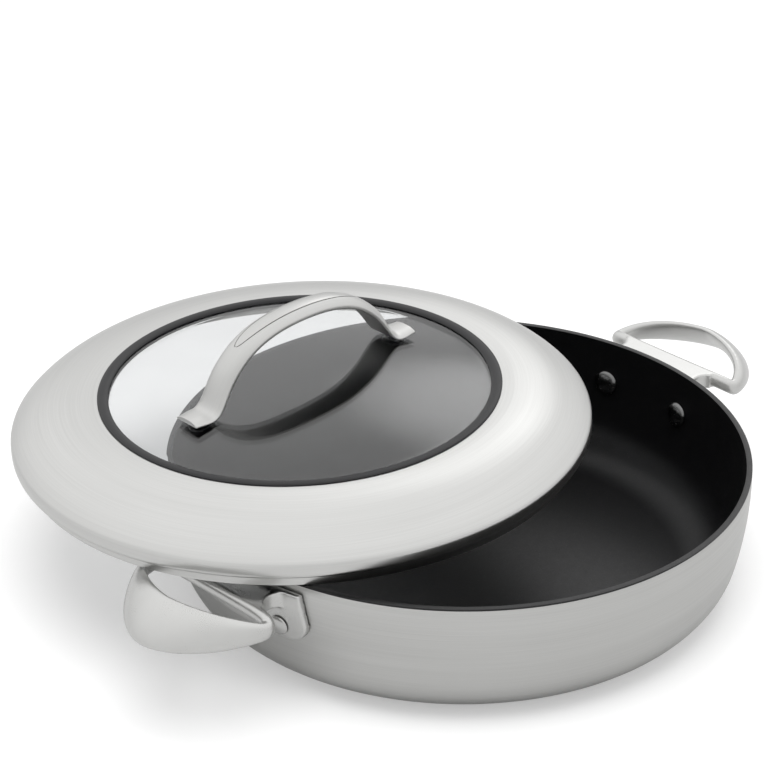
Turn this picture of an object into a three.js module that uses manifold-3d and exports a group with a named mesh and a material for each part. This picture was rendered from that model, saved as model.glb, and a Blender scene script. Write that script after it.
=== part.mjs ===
// Chef pan with lid: a wide lined steel pan with two cast loop handles, and a domed steel lid with a
// glass window and an arched handle. The lid lies askew, on the pan's rim and on one loop handle.
// Millimetres, +Z up. Origin: centre of the pan's flat base. +X: out along the right side handle.
import * as THREE from 'three';
import * as BufferGeometryUtils from 'three/addons/utils/BufferGeometryUtils.js';
import Module from 'manifold-3d';

const wasm = await Module();
wasm.setup();

// Fits and facets
const seatGap = 0.3; // between pieces that rest on each other or pass through each other
const bondGap = 0.15; // between the steel shell and its lining
const roundFacets = 44; // round the pan and the lid
const smallFacets = 14; // round rivets, screws, ferrules and their holes
const loopSides = 12; // round the section of a side handle's loop
const loopStations = 36; // along that loop

// Pan
const panRimRadius = 160;
const panHeight = 75;
const panBaseRadius = 124; // flat of the base
const panCornerRadius = 32; // between base and wall
const wallStartLean = 13; // degrees, where the wall leaves the corner
const steelThickness = 2.2;
const liningThickness = 0.8;

// Side handles: a loop of bar and bow, a web that carries it, and a plate on the wall
const barStandoff = 18; // bar centre beyond the rim
const barDrop = 9.7; // bar centre below the rim
const barHalfHeight = 4.2;
const barHalfThickness = 3.4;
const bowReach = 59.4; // bow centre beyond the rim
const bowDrop = 10.4; // bow centre below the rim
const bowHalfHeight = 14.3;
const bowOuterThickness = 3.7; // from its centre to its outer face
const bowInnerThickness = 3.3; // from its centre to its inner face
const bowTilt = 46; // degrees, its lower edge outwards
const loopHalfWidth = 44.5; // of the loop's centre line
const loopCornerDepth = 5; // from the bar to where the loop is widest
const loopCornerDip = 3; // of the corners below the line from bar to bow
const loopCornerPower = 0.55; // under 1 squares the corners at the bar
const bowFlankPower = 1.25; // over 1 slims the flanks of the bow
const sectionPower = 0.8; // under 1 squares the section
const tiltPower = 0.75; // under 1 tilts the section early on the way to the bow
const growthPower = 1.45; // over 1 grows the section late on the way to the bow
const webHalfWidth = 29;
const webFlare = 4; // at both ends of the web
const webTopDrop = 5.6; // below the rim
const webThickness = 9;
const plateHalfWidth = 44.5;
const plateTopHalfWidth = 41;
const plateTopDrop = 5; // below the rim
const plateHeight = 29;
const plateThickness = 3.6;
const plateCornerRadius = 11;

// Rivets
const rivetSpacing = 56;
const rivetDrop = 26; // below the rim
const rivetRadius = 2.8;
const rivetHeadRadius = 7.5;
const rivetHeadHeight = 3.2;
const rivetTailRadius = 5.6;
const rivetTailHeight = 2.4;

// Lid, with heights above its lower edge
const lidOverhang = 0; // of the lid beyond the rim, when it is closed
const spigotClearance = 2.4; // round the spigot, inside the pan
const spigotDepth = 6.4;
const beadHeight = 6.4; // rounded edge above the spigot
const creaseHeight = 3.4; // bend between the edge and the dome
const creaseInset = 1.8;
const domeRise = 16.6; // from the bend to the window's edge
const domeEdgePull = 0.22; // share of the dome's width that holds its slope at the bend
const domeEdgeRise = 0.7; // share of its rise over that width
const domeFlatPull = 0.43; // share of its width that stays level by the window
const lidSheet = 1.2;
const windowRadius = 109; // hole in the dome
const gasketRise = 1.2; // of the seal above the dome
const gasketLip = 2.2; // of the seal over the dome
const gasketInnerLip = 2.5; // of the seal over the glass
const gasketWeb = 1;
const gasketFoot = 1.5; // of the seal under the glass
const glassThickness = 4;
const glassDrop = 1.8; // below the top of the seal

// Lid handle
const footSpacing = 139; // between the two screws
const footReach = 9; // of the foot beyond its screw
const footThickness = 5;
const footHalfWidth = 9;
const strapHalfWidth = 8.2;
const strapThickness = 5.4;
const strapCrown = 0.9; // rise of its rounded top
const archHeight = 39.5; // crown above the feet
const archShoulder = 52; // from the middle to the steepest place
const archShoulderHeight = 15.5; // of that place above the feet
const archCrownPull = 0.5; // share of the way to the shoulder that stays level
const archLegPull = 0.19; // share of that way that runs down the leg
const footBendPull = 0.45; // share of the way to the foot on each side of its bend
const footTaper = 0.35; // share of its width that the foot loses towards its end
const panelHalfLength = 40; // bare inset panel on the crown
const panelHalfWidth = 4.2;
const panelDepth = 0.4;

// Lid handle fastening
const ferruleRadius = 6;
const ferruleHeight = 5.2;
const padThickness = 0.8;
const padRadius = 6.6;
const screwRadius = 2.4;
const screwHeadRadius = 4.6;
const screwHeadHeight = 2.6;
const screwGrip = 3; // into the foot
const washerRadius = 6.6;
const washerThickness = 1.4;

// Where the lid lies
const lidShift = new THREE.Vector2(-49.6, 72.7); // from the pan's axis
const lidTurn = -2.5; // degrees, of its handle from the line of the side handles

const radians = THREE.MathUtils.degToRad;
const { lerp } = THREE.MathUtils;

const steel = { color: 0xc9c9c6, metalness: 1, roughness: 0.36 };
const castSteel = { color: 0xd6d6d4, metalness: 1, roughness: 0.3 };
const coating = { color: 0x141415, metalness: 0, roughness: 0.45 };
const silicone = { color: 0x3c3d3f, metalness: 0, roughness: 0.6 };
const glass = { color: 0xb9c0c2, metalness: 0, roughness: 0.05, transparent: true, opacity: 0.4 };

function piece(name, geometry, finish) {
  const mesh = new THREE.Mesh(geometry, new THREE.MeshStandardMaterial(finish));
  mesh.name = name;
  return mesh;
}

// Moves an outline to its left by a distance. An end on the axis stays on the axis.
function offsetOutline(points, distance) {
  return points.map((point, i) => {
    const before = points[Math.max(i - 1, 0)];
    const after = points[Math.min(i + 1, points.length - 1)];
    const arriving = point.clone().sub(before).normalize();
    const leaving = after.clone().sub(point).normalize();
    const along = arriving.add(leaving).normalize();
    return new THREE.Vector2(point.x - along.y * distance, point.y + along.x * distance);
  });
}

// Ends a rising outline at a height on its last stretch.
function endAtHeight(points, height) {
  const found = points.findIndex((point) => point.y >= height);
  const top = found < 0 ? points.length - 1 : found;
  const [low, high] = [points[top - 1], points[top]];
  const share = (height - low.y) / (high.y - low.y);
  return [...points.slice(0, top), low.clone().lerp(high, share)];
}

// How many straight pieces stand for a stretch of an outline.
function curveSteps(curve) {
  if (curve.isLineCurve) return 1;
  return curve.isCubicBezierCurve ? 5 : 3;
}

// Turns a (radius, height) outline round the Z axis. It runs anticlockwise, and it starts and ends on
// the axis or closes on itself.
function turned(outline, facets) {
  const onAxis = outline[0].x === 0;
  const closed = onAxis ? outline : [...outline, outline[0]];
  return new THREE.LatheGeometry(closed, facets).rotateX(Math.PI / 2);
}

// Skins a row of rings of points. Each ring runs anticlockwise about the way that the row goes.
function lofted(rings, joined) {
  const sides = rings[0].length;
  const positions = rings.flat().flatMap((point) => point.toArray());
  const index = [];
  const spans = joined ? rings.length : rings.length - 1;
  for (let i = 0; i < spans; i += 1) {
    const here = i * sides;
    const next = ((i + 1) % rings.length) * sides;
    for (let j = 0; j < sides; j += 1) {
      const k = (j + 1) % sides;
      index.push(here + j, here + k, next + k, here + j, next + k, next + j);
    }
  }
  const last = (rings.length - 1) * sides;
  for (let j = 1; j < sides - 1 && !joined; j += 1) {
    index.push(0, j + 1, j, last, last + j, last + j + 1);
  }
  const geometry = new THREE.BufferGeometry();
  geometry.setAttribute('position', new THREE.Float32BufferAttribute(positions, 3));
  geometry.setIndex(index);
  return geometry;
}

// A closed geometry as a solid that can be joined and cut.
function solid(geometry) {
  const bare = geometry.clone();
  bare.deleteAttribute('normal');
  bare.deleteAttribute('uv');
  const merged = BufferGeometryUtils.mergeVertices(bare);
  const triangles = [];
  for (let i = 0; i < merged.index.count; i += 3) {
    const [a, b, c] = [0, 1, 2].map((corner) => merged.index.getX(i + corner));
    if (a !== b && b !== c && c !== a) triangles.push(a, b, c);
  }
  return new wasm.Manifold(new wasm.Mesh({
    numProp: 3,
    vertProperties: merged.attributes.position.array,
    triVerts: Uint32Array.from(triangles),
  }));
}

function geometryOf(body) {
  const mesh = body.getMesh();
  const geometry = new THREE.BufferGeometry();
  geometry.setAttribute('position', new THREE.BufferAttribute(mesh.vertProperties, 3));
  geometry.setIndex(new THREE.BufferAttribute(mesh.triVerts, 1));
  geometry.computeVertexNormals();
  return geometry;
}

// A round rod along Z from one height to another.
function rod(radius, bottom, top) {
  const outline = [[0, bottom], [radius, bottom], [radius, top], [0, top]];
  return turned(outline.map(([x, y]) => new THREE.Vector2(x, y)), smallFacets);
}

// A low dome on the (radius, height) outline, from its edge to the axis or from the axis to its edge.
function domePoints(radius, edge, rise, fromAxis) {
  const steps = 3;
  const points = [];
  for (let i = 0; i <= steps; i += 1) {
    const angle = (i / steps) * (Math.PI / 2);
    points.push(new THREE.Vector2(radius * Math.cos(angle), edge + rise * Math.sin(angle)));
  }
  points[steps].x = 0;
  return fromAxis ? points.reverse() : points;
}

// Pan

// Outside of the pan, from the axis along the base, round the corner and up the swelling wall.
function panOutline() {
  const lean = radians(wallStartLean);
  const path = new THREE.Path();
  path.moveTo(0, 0);
  path.lineTo(panBaseRadius, 0);
  path.absarc(panBaseRadius, panCornerRadius, panCornerRadius, -Math.PI / 2, -lean, false);
  const start = path.currentPoint.clone();
  const rim = new THREE.Vector2(panRimRadius, panHeight);
  const pull = start.distanceTo(rim) / 2;
  path.quadraticCurveTo(start.x + pull * Math.sin(lean), start.y + pull * Math.cos(lean), rim.x, rim.y);
  return path.getPoints(3);
}

const outsideOfPan = panOutline();
const liningDepth = steelThickness + bondGap;
const wallThickness = liningDepth + liningThickness;
const panInnerRadius = panRimRadius - wallThickness;

// Radius and lean of the wall's outer face at a height.
function wallAt(height) {
  const upper = outsideOfPan.findIndex((point) => point.y >= height);
  const [low, high] = [outsideOfPan[upper - 1], outsideOfPan[upper]];
  const radius = lerp(low.x, high.x, (height - low.y) / (high.y - low.y));
  return { radius, lean: Math.atan2(high.x - low.x, high.y - low.y) };
}

function panShell() {
  const top = panHeight - liningThickness - bondGap;
  const outside = endAtHeight(outsideOfPan, top);
  const inside = endAtHeight(offsetOutline(outsideOfPan, steelThickness), top);
  return turned([...outside, ...inside.reverse()], roundFacets);
}

// The lining covers the inside and turns out over the top of the steel to the rim's outer edge.
function panLining() {
  const back = endAtHeight(offsetOutline(outsideOfPan, liningDepth), panHeight - liningThickness);
  const face = endAtHeight(offsetOutline(outsideOfPan, wallThickness), panHeight);
  const edge = [
    new THREE.Vector2(panRimRadius, panHeight - liningThickness),
    new THREE.Vector2(panRimRadius, panHeight),
  ];
  return turned([...back, ...edge, ...face.reverse()], roundFacets);
}

// Rivets

// Stands a thing on the wall's outer face at a rivet, with its Z axis square out of the wall.
function rivetPlace(side) {
  const { radius, lean } = wallAt(panHeight - rivetDrop);
  const angle = side * Math.asin(rivetSpacing / 2 / radius);
  const place = new THREE.Matrix4().makeRotationZ(angle);
  place.multiply(new THREE.Matrix4().makeTranslation(radius, 0, panHeight - rivetDrop));
  place.multiply(new THREE.Matrix4().makeRotationY(Math.PI / 2 + lean));
  return place;
}

function rivetHole(side) {
  const length = 2 * (wallThickness + plateThickness);
  return solid(rod(rivetRadius + seatGap, -length, length).applyMatrix4(rivetPlace(side)));
}

// Domed head inside the pan, shank through wall and plate, closed tail on the plate. The head's flat
// seat stands off by what the hollow wall rises at its edge.
function rivet(side) {
  const hollow = rivetHeadRadius * Math.sin(Math.PI / roundFacets);
  const head = -wallThickness - seatGap - hollow;
  const tail = seatGap + plateThickness + seatGap;
  const headDome = domePoints(rivetHeadRadius, head, -rivetHeadHeight, true);
  const shank = [new THREE.Vector2(rivetRadius, head), new THREE.Vector2(rivetRadius, tail)];
  const tailDome = domePoints(rivetTailRadius, tail, rivetTailHeight, false);
  return turned([...headDome, ...shank, ...tailDome], smallFacets).applyMatrix4(rivetPlace(side));
}

function drilled(geometry, turns) {
  let body = solid(geometry);
  for (const turn of turns) {
    for (const side of [-1, 1]) {
      body = body.subtract(rivetHole(side).rotate([0, 0, turn]));
    }
  }
  return geometryOf(body);
}

// Side handle, made for the +X side

// Centre of the loop at a turn round it, with how far along it is from bar to bow.
function loopCentre(turn) {
  const barX = panRimRadius + barStandoff;
  const bowX = panRimRadius + bowReach;
  const widestX = barX + loopCornerDepth;
  const [c, s] = [Math.cos(turn), Math.sin(turn)];
  const power = c < 0 ? loopCornerPower : bowFlankPower;
  const reach = c < 0 ? loopCornerDepth : bowX - widestX;
  const x = widestX + Math.sign(c) * reach * Math.abs(c) ** power;
  const y = loopHalfWidth * Math.sign(s) * Math.abs(s) ** power;
  const outward = (x - barX) / (bowX - barX);
  const dip = loopCornerDip * (1 - Math.abs(c)) ** 2;
  const z = panHeight - lerp(barDrop, bowDrop, outward) - dip;
  return { centre: new THREE.Vector3(x, y, z), outward };
}

// The loop's section grows from the upright bar to the tall bow, and leans out with it.
function loopRing(turn) {
  const step = 0.01;
  const { centre, outward } = loopCentre(turn);
  const along = loopCentre(turn + step).centre.sub(loopCentre(turn - step).centre).setZ(0).normalize();
  const away = new THREE.Vector3(along.y, -along.x, 0);
  const tilt = radians(bowTilt) * outward ** tiltPower;
  const tall = new THREE.Vector3(0, 0, Math.cos(tilt)).addScaledVector(away, -Math.sin(tilt));
  const thick = new THREE.Vector3(0, 0, Math.sin(tilt)).addScaledVector(away, Math.cos(tilt));
  const height = lerp(barHalfHeight, bowHalfHeight, outward ** growthPower);
  const points = [];
  for (let i = 0; i < loopSides; i += 1) {
    const around = (i / loopSides) * 2 * Math.PI;
    const [c, s] = [Math.cos(around), Math.sin(around)];
    const face = s > 0 ? bowOuterThickness : bowInnerThickness;
    const thickness = lerp(barHalfThickness, face, outward);
    const up = height * Math.sign(c) * Math.abs(c) ** sectionPower;
    const out = thickness * Math.sign(s) * Math.abs(s) ** sectionPower;
    points.push(centre.clone().addScaledVector(tall, up).addScaledVector(thick, out));
  }
  return points;
}

function handleLoop() {
  const rings = [];
  for (let i = 0; i < loopStations; i += 1) {
    rings.push(loopRing(((i + 0.5) / loopStations) * 2 * Math.PI));
  }
  return solid(lofted(rings, true));
}

// Web between the plate and the bar, flared at both ends.
function handleWeb() {
  const inner = panRimRadius - panCornerRadius / 2;
  const outer = panRimRadius + barStandoff;
  const waist = (panRimRadius + outer - barHalfThickness) / 2;
  const wide = webHalfWidth + webFlare;
  const shape = new THREE.Shape();
  shape.moveTo(inner, -wide);
  shape.lineTo(panRimRadius, -wide);
  shape.quadraticCurveTo(waist, -webHalfWidth + webFlare, outer, -wide);
  shape.lineTo(outer, wide);
  shape.quadraticCurveTo(waist, webHalfWidth - webFlare, panRimRadius, wide);
  shape.lineTo(inner, wide);
  const depth = webThickness;
  const web = new THREE.ExtrudeGeometry(shape, { depth, bevelEnabled: false, curveSegments: 6 });
  return solid(web.translate(0, 0, panHeight - webTopDrop - webThickness));
}

// Round-cornered outline of the wall plate, seen from outside, cut through a shell that fits the wall.
function handlePlate() {
  const top = panHeight - plateTopDrop;
  const bottom = top - plateHeight;
  const shoulder = bottom + plateCornerRadius;
  const flat = plateHalfWidth - plateCornerRadius;
  const shape = new THREE.Shape();
  shape.moveTo(-flat, bottom);
  shape.lineTo(flat, bottom);
  shape.absarc(flat, shoulder, plateCornerRadius, -Math.PI / 2, 0, false);
  shape.lineTo(plateTopHalfWidth, top);
  shape.lineTo(-plateTopHalfWidth, top);
  shape.lineTo(-plateHalfWidth, shoulder);
  shape.absarc(-flat, shoulder, plateCornerRadius, Math.PI, 1.5 * Math.PI, false);
  const depth = panRimRadius;
  const slab = new THREE.ExtrudeGeometry(shape, { depth, bevelEnabled: false, curveSegments: 5 });
  const upright = new THREE.Matrix4().makeBasis(
    new THREE.Vector3(0, 1, 0),
    new THREE.Vector3(0, 0, 1),
    new THREE.Vector3(1, 0, 0),
  );
  slab.applyMatrix4(upright).translate(panRimRadius / 2, 0, 0);
  return solid(slab).intersect(wallSleeve(seatGap + plateThickness));
}

// Everything inside the wall's outer face, moved out by a distance.
function wallSleeve(distance) {
  const outline = offsetOutline(outsideOfPan, -distance);
  const above = new THREE.Vector2(outline[outline.length - 1].x, panHeight + distance);
  return solid(turned([...outline, above, new THREE.Vector2(0, above.y)], roundFacets));
}

function sideHandle() {
  const body = handleLoop().add(handleWeb()).add(handlePlate()).subtract(wallSleeve(seatGap));
  return drilled(geometryOf(body), [0]);
}

// Lid, made upright on its lower edge

const lidRadius = panRimRadius + lidOverhang;
const spigotRadius = panInnerRadius - spigotClearance;
const edgeTop = spigotDepth + beadHeight;
const domeFoot = edgeTop + creaseHeight;
const domeTop = domeFoot + domeRise;
const sealTop = domeTop + gasketRise;
const glassTop = sealTop - glassDrop;
const glassBottom = glassTop - glassThickness;
const gasketWebOuter = windowRadius - seatGap;
const gasketWebInner = gasketWebOuter - gasketWeb;
const glassRadius = gasketWebInner - seatGap;
const screwOffset = footSpacing / 2;

// Outer face of the sheet, from the spigot's lower edge round the rounded edge and over the dome.
function ringOutline() {
  const step = spigotDepth / 3;
  const shoulder = lidRadius - creaseInset;
  const path = new THREE.Path();
  path.moveTo(spigotRadius, 0);
  path.lineTo(spigotRadius, spigotDepth - step);
  path.quadraticCurveTo(spigotRadius, spigotDepth, spigotRadius + step, spigotDepth);
  path.quadraticCurveTo(lidRadius, spigotDepth, lidRadius, spigotDepth + beadHeight / 2);
  path.lineTo(lidRadius, edgeTop);
  path.quadraticCurveTo(lidRadius, edgeTop + creaseHeight / 2, shoulder, domeFoot);
  const span = shoulder - windowRadius;
  path.bezierCurveTo(
    shoulder - domeEdgePull * span,
    domeFoot + domeEdgeRise * domeRise,
    windowRadius + domeFlatPull * span,
    domeTop,
    windowRadius,
    domeTop,
  );
  const bends = path.curves.flatMap((curve) => curve.getPoints(curveSteps(curve)).slice(1));
  return [path.getPoint(0), ...bends];
}

function lidRing() {
  const outside = ringOutline();
  const inside = offsetOutline(outside, lidSheet);
  return turned([...outside, ...inside.reverse()], roundFacets);
}

// Seal with a groove each for the dome's edge and for the glass.
function lidGasket() {
  const bottom = glassBottom - seatGap - gasketFoot;
  const crest = (gasketWebInner + gasketWebOuter) / 2;
  const lipOuter = windowRadius + gasketLip;
  const lipInner = glassRadius - gasketInnerLip;
  const outline = [
    [lipInner, bottom],
    [lipOuter, bottom],
    [lipOuter, domeTop - lidSheet - seatGap],
    [gasketWebOuter, domeTop - lidSheet - seatGap],
    [gasketWebOuter, domeTop + seatGap],
    [lipOuter, domeTop + seatGap],
    [crest + gasketLip / 2, sealTop],
    [crest - gasketInnerLip / 2, sealTop],
    [lipInner, glassTop + 2 * seatGap],
    [lipInner, glassTop + seatGap],
    [gasketWebInner, glassTop + seatGap],
    [gasketWebInner, glassBottom - seatGap],
    [lipInner, glassBottom - seatGap],
  ];
  return turned(outline.map(([x, y]) => new THREE.Vector2(x, y)), roundFacets);
}

function lidGlass() {
  const disc = new THREE.CylinderGeometry(glassRadius, glassRadius, glassThickness, roundFacets);
  disc.rotateX(Math.PI / 2).translate(0, 0, glassTop - glassThickness / 2);
  let body = solid(disc);
  for (const side of [-1, 1]) {
    const hole = rod(screwRadius + 2 * seatGap, glassBottom - glassThickness, glassTop + glassThickness);
    body = body.subtract(solid(hole.translate(side * screwOffset, 0, 0)));
  }
  return geometryOf(body);
}

// Lid handle: a strap swept along an arch, with flat feet

const padBottom = glassTop + seatGap;
const ferruleBottom = padBottom + padThickness + seatGap;
const footBottom = ferruleBottom + ferruleHeight + seatGap;
const footCentre = footBottom + footThickness / 2;

// Centre line of half the strap, from the middle of the arch to the end of the foot. It keeps its
// direction at the shoulder, and lies flat over the screw.
function archPath() {
  const flat = screwOffset - screwRadius / 2;
  const crown = footCentre + archHeight;
  const shoulder = footCentre + archShoulderHeight;
  const legRun = archLegPull * archShoulder;
  const legFall = (archHeight - archShoulderHeight) / 2;
  const bend = footBendPull * (flat - archShoulder);
  const path = new THREE.Path();
  path.moveTo(0, crown);
  path.bezierCurveTo(
    archCrownPull * archShoulder,
    crown,
    archShoulder - legRun,
    shoulder + legFall,
    archShoulder,
    shoulder,
  );
  path.bezierCurveTo(
    archShoulder + bend,
    shoulder - (bend * legFall) / legRun,
    flat - bend,
    footCentre,
    flat,
    footCentre,
  );
  path.lineTo(screwOffset + footReach, footCentre);
  return path;
}

// Widths and thickness of the strap at a distance from the middle.
function strapSize(distance) {
  const flare = THREE.MathUtils.smoothstep(distance, archShoulder, screwOffset);
  const end = THREE.MathUtils.smoothstep(distance, screwOffset, screwOffset + footReach);
  const inPanel = Math.max(0, 1 - (distance / panelHalfLength) ** 2);
  return {
    halfWidth: lerp(strapHalfWidth, footHalfWidth, flare) * (1 - footTaper * end),
    thickness: lerp(strapThickness, footThickness, flare),
    panelWidth: Math.max(panelHalfWidth * Math.sqrt(inPanel), panelDepth),
    panelDepth: inPanel > 0 ? panelDepth : 0,
  };
}

// Section of the strap: flat below, rounded above, with the panel sunk into its top.
function strapRing(point, normal, size) {
  const { halfWidth, thickness, panelWidth } = size;
  const half = thickness / 2;
  const edge = half / 3;
  const floor = half - size.panelDepth;
  const outline = [
    [edge - halfWidth, -half],
    [halfWidth - edge, -half],
    [halfWidth, edge - half],
    [halfWidth, half - strapCrown - edge],
    [halfWidth - edge, half - strapCrown],
    [panelWidth, half],
    [panelWidth - panelDepth / 2, floor],
    [panelDepth / 2 - panelWidth, floor],
    [-panelWidth, half],
    [edge - halfWidth, half - strapCrown],
    [-halfWidth, half - strapCrown - edge],
    [-halfWidth, edge - half],
  ];
  return outline.map(([across, up]) => new THREE.Vector3(
    point.x + normal.x * up,
    across,
    point.y + normal.y * up,
  ));
}

function lidHandle() {
  const path = archPath();
  const half = [];
  for (const curve of path.curves) {
    const steps = curve.isLineCurve ? 4 : 9;
    for (let i = half.length ? 1 : 0; i <= steps; i += 1) {
      const point = curve.getPoint(i / steps);
      const along = curve.getTangent(i / steps);
      half.push({ point, normal: new THREE.Vector2(-along.y, along.x), size: strapSize(point.x) });
    }
  }
  const mirrored = half.slice(1).reverse().map(({ point, normal, size }) => ({
    point: new THREE.Vector2(-point.x, point.y),
    normal: new THREE.Vector2(-normal.x, normal.y),
    size,
  }));
  const rings = [...mirrored, ...half].map(({ point, normal, size }) => strapRing(point, normal, size));
  let body = solid(lofted(rings, false));
  for (const side of [-1, 1]) {
    const hole = rod(screwRadius + seatGap, footBottom - footThickness, footBottom + screwGrip + seatGap);
    body = body.subtract(solid(hole.translate(side * screwOffset, 0, 0)));
  }
  return geometryOf(body);
}

// A round washer, pad or ferrule on a screw.
function collar(radius, bottom, height) {
  const bore = screwRadius + seatGap;
  const ring = [[bore, bottom], [radius, bottom], [radius, bottom + height], [bore, bottom + height]];
  return turned(ring.map(([x, y]) => new THREE.Vector2(x, y)), smallFacets);
}

const washerBottom = glassBottom - seatGap - washerThickness;

// Round-headed screw from under the glass up into the foot.
function lidScrew() {
  const head = washerBottom - seatGap;
  const top = footBottom + screwGrip;
  const headDome = domePoints(screwHeadRadius, head, -screwHeadHeight, true);
  const shank = [[screwRadius, head], [screwRadius, top], [0, top]];
  return turned([...headDome, ...shank.map(([x, y]) => new THREE.Vector2(x, y))], smallFacets);
}

// How the lid lies

// Points spread over the edges of all triangles of a geometry.
function surfacePoints(geometry) {
  const steps = 8;
  const corners = geometry.getAttribute('position');
  const index = geometry.getIndex();
  const corner = (i) => new THREE.Vector3().fromBufferAttribute(corners, index.getX(i));
  const points = [];
  for (let i = 0; i < index.count; i += 1) {
    const next = i % 3 === 2 ? i - 2 : i + 1;
    for (let j = 0; j < steps; j += 1) points.push(corner(i).lerp(corner(next), j / steps));
  }
  return points;
}

// The spigot's lower edge crosses the rim in two places. The lid tips about the line through them,
// away from the pan's axis, until the edge comes down on the side handle.
function lidRest(handle) {
  const distance = lidShift.length();
  const away = lidShift.clone().divideScalar(distance);
  const rim = panRimRadius - wallThickness / 2;
  const edge = spigotRadius - lidSheet / 2;
  const crossing = (distance ** 2 + rim ** 2 - edge ** 2) / (2 * distance);
  const height = panHeight + seatGap;
  let slope = Infinity;
  for (const point of surfacePoints(handle)) {
    const spot = new THREE.Vector2(-point.x, -point.y);
    const beyond = spot.dot(away) - crossing;
    const underEdge = Math.abs(spot.distanceTo(lidShift) - edge) < lidSheet;
    if (underEdge && beyond > 0) slope = Math.min(slope, (height - point.z - seatGap) / beyond);
  }
  const tilt = Math.atan(slope);
  const level = height - (distance - crossing) * slope;
  return { position: new THREE.Vector3(lidShift.x, lidShift.y, level), axis: away, tilt };
}

function lidGroup(handle) {
  const rest = lidRest(handle);
  const group = new THREE.Group();
  group.position.copy(rest.position);
  const hinge = new THREE.Vector3(-rest.axis.y, rest.axis.x, 0);
  group.quaternion.setFromAxisAngle(hinge, rest.tilt);
  const spun = new THREE.Group();
  spun.rotation.z = radians(lidTurn);
  group.add(spun);
  spun.add(piece('lid_ring', lidRing(), steel));
  spun.add(piece('lid_gasket', lidGasket(), silicone));
  spun.add(piece('lid_glass', lidGlass(), glass));
  spun.add(piece('lid_handle', lidHandle(), castSteel));
  for (const [side, end] of [[1, 'right'], [-1, 'left']]) {
    const stack = new THREE.Group();
    stack.position.x = side * screwOffset;
    stack.add(piece(`foot_pad_${end}`, collar(padRadius, padBottom, padThickness), silicone));
    stack.add(piece(`foot_ferrule_${end}`, collar(ferruleRadius, ferruleBottom, ferruleHeight), castSteel));
    stack.add(piece(`screw_washer_${end}`, collar(washerRadius, washerBottom, washerThickness), silicone));
    stack.add(piece(`lid_screw_${end}`, lidScrew(), castSteel));
    spun.add(stack);
  }
  return group;
}

function chefPan() {
  const pan = new THREE.Group();
  const handle = sideHandle();
  pan.add(piece('pan_shell', drilled(panShell(), [0, 180]), steel));
  pan.add(piece('pan_lining', drilled(panLining(), [0, 180]), coating));
  for (const [end, turn] of [['right', 0], ['left', Math.PI]]) {
    const side = new THREE.Group();
    side.rotation.z = turn;
    side.add(piece(`side_handle_${end}`, handle.clone(), castSteel));
    side.add(piece(`handle_rivet_${end}_a`, rivet(1), castSteel));
    side.add(piece(`handle_rivet_${end}_b`, rivet(-1), castSteel));
    pan.add(side);
  }
  pan.add(lidGroup(handle));
  return pan;
}

export default chefPan();
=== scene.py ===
# Looks of a chef pan with lid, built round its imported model.
# Outlines and sizes are in millimetres, as on a drawing, and become metres where a mesh is made.
import math

import bpy
from mathutils import Matrix, Vector
from mathutils.geometry import interpolate_bezier


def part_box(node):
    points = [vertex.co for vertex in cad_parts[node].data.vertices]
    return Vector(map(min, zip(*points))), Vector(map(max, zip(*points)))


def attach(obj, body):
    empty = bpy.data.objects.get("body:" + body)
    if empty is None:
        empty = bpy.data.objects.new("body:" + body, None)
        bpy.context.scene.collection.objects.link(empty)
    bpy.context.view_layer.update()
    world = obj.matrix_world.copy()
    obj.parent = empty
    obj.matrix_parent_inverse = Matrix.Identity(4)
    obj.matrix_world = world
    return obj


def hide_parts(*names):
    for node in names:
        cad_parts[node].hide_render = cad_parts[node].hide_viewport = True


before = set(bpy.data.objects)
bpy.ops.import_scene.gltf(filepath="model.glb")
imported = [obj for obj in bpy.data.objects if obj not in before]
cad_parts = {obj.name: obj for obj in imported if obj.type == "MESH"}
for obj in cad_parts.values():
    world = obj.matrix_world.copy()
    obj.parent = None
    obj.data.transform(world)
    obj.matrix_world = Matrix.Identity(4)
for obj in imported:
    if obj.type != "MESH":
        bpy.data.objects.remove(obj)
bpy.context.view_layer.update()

MM = 0.001
FULL_TURN = 2 * math.pi
MERGE_DISTANCE = 0.002 * MM

# Fits
SEAT_GAP = 0.3
BOND_GAP = 0.15

# Pan
RIM_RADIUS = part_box("pan_lining")[1].x / MM
PAN_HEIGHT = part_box("pan_lining")[1].z / MM
BASE_RADIUS = 124
CORNER_RADIUS = 32
WALL_START_LEAN = 13  # degrees, where the wall leaves the corner
STEEL_THICKNESS = 2.2
LINING_THICKNESS = 0.8
LINING_DEPTH = STEEL_THICKNESS + BOND_GAP
WALL_THICKNESS = LINING_DEPTH + LINING_THICKNESS
SHELL_EDGE = 0.35  # rounding of the shell's edges
LINING_EDGE = 0.3
CORNER_STEPS = 16
WALL_STEPS = 12

# Side handles
BAR_STANDOFF = 18  # bar centre beyond the rim
BAR_DROP = 9.7  # bar centre below the rim
BAR_HALF_HEIGHT = 4.2
BAR_HALF_THICKNESS = 3.4
BOW_REACH = 59.4  # bow centre beyond the rim
BOW_DROP = 10.4  # bow centre below the rim
BOW_HALF_HEIGHT = 14.3
BOW_HALF_THICKNESS = 3.5
BOW_TILT = 46  # degrees, its lower edge outwards
LOOP_HALF_WIDTH = 44.5
LOOP_CORNER_DEPTH = 5  # from the bar to where the loop is widest
LOOP_CORNER_DIP = 3
LOOP_CORNER_POWER = 0.55  # under 1 squares the corners at the bar
BOW_FLANK_POWER = 1.25  # over 1 slims the flanks of the bow
TILT_POWER = 0.75  # under 1 tilts the section early on the way to the bow
GROWTH_POWER = 1.45  # over 1 grows the section late on the way to the bow
LOOP_RINGS = 36
LOOP_SIDES = 16
WEB_HALF_WIDTH = 33
WEB_WAIST = 4  # depth of the hollow at each end of the web
WEB_TOP_DROP = 5.6
WEB_THICKNESS = 9
WEB_ROOT = 1  # reach of the web inside the rim's radius
WEB_HOLLOW_STEPS = 64
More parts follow.
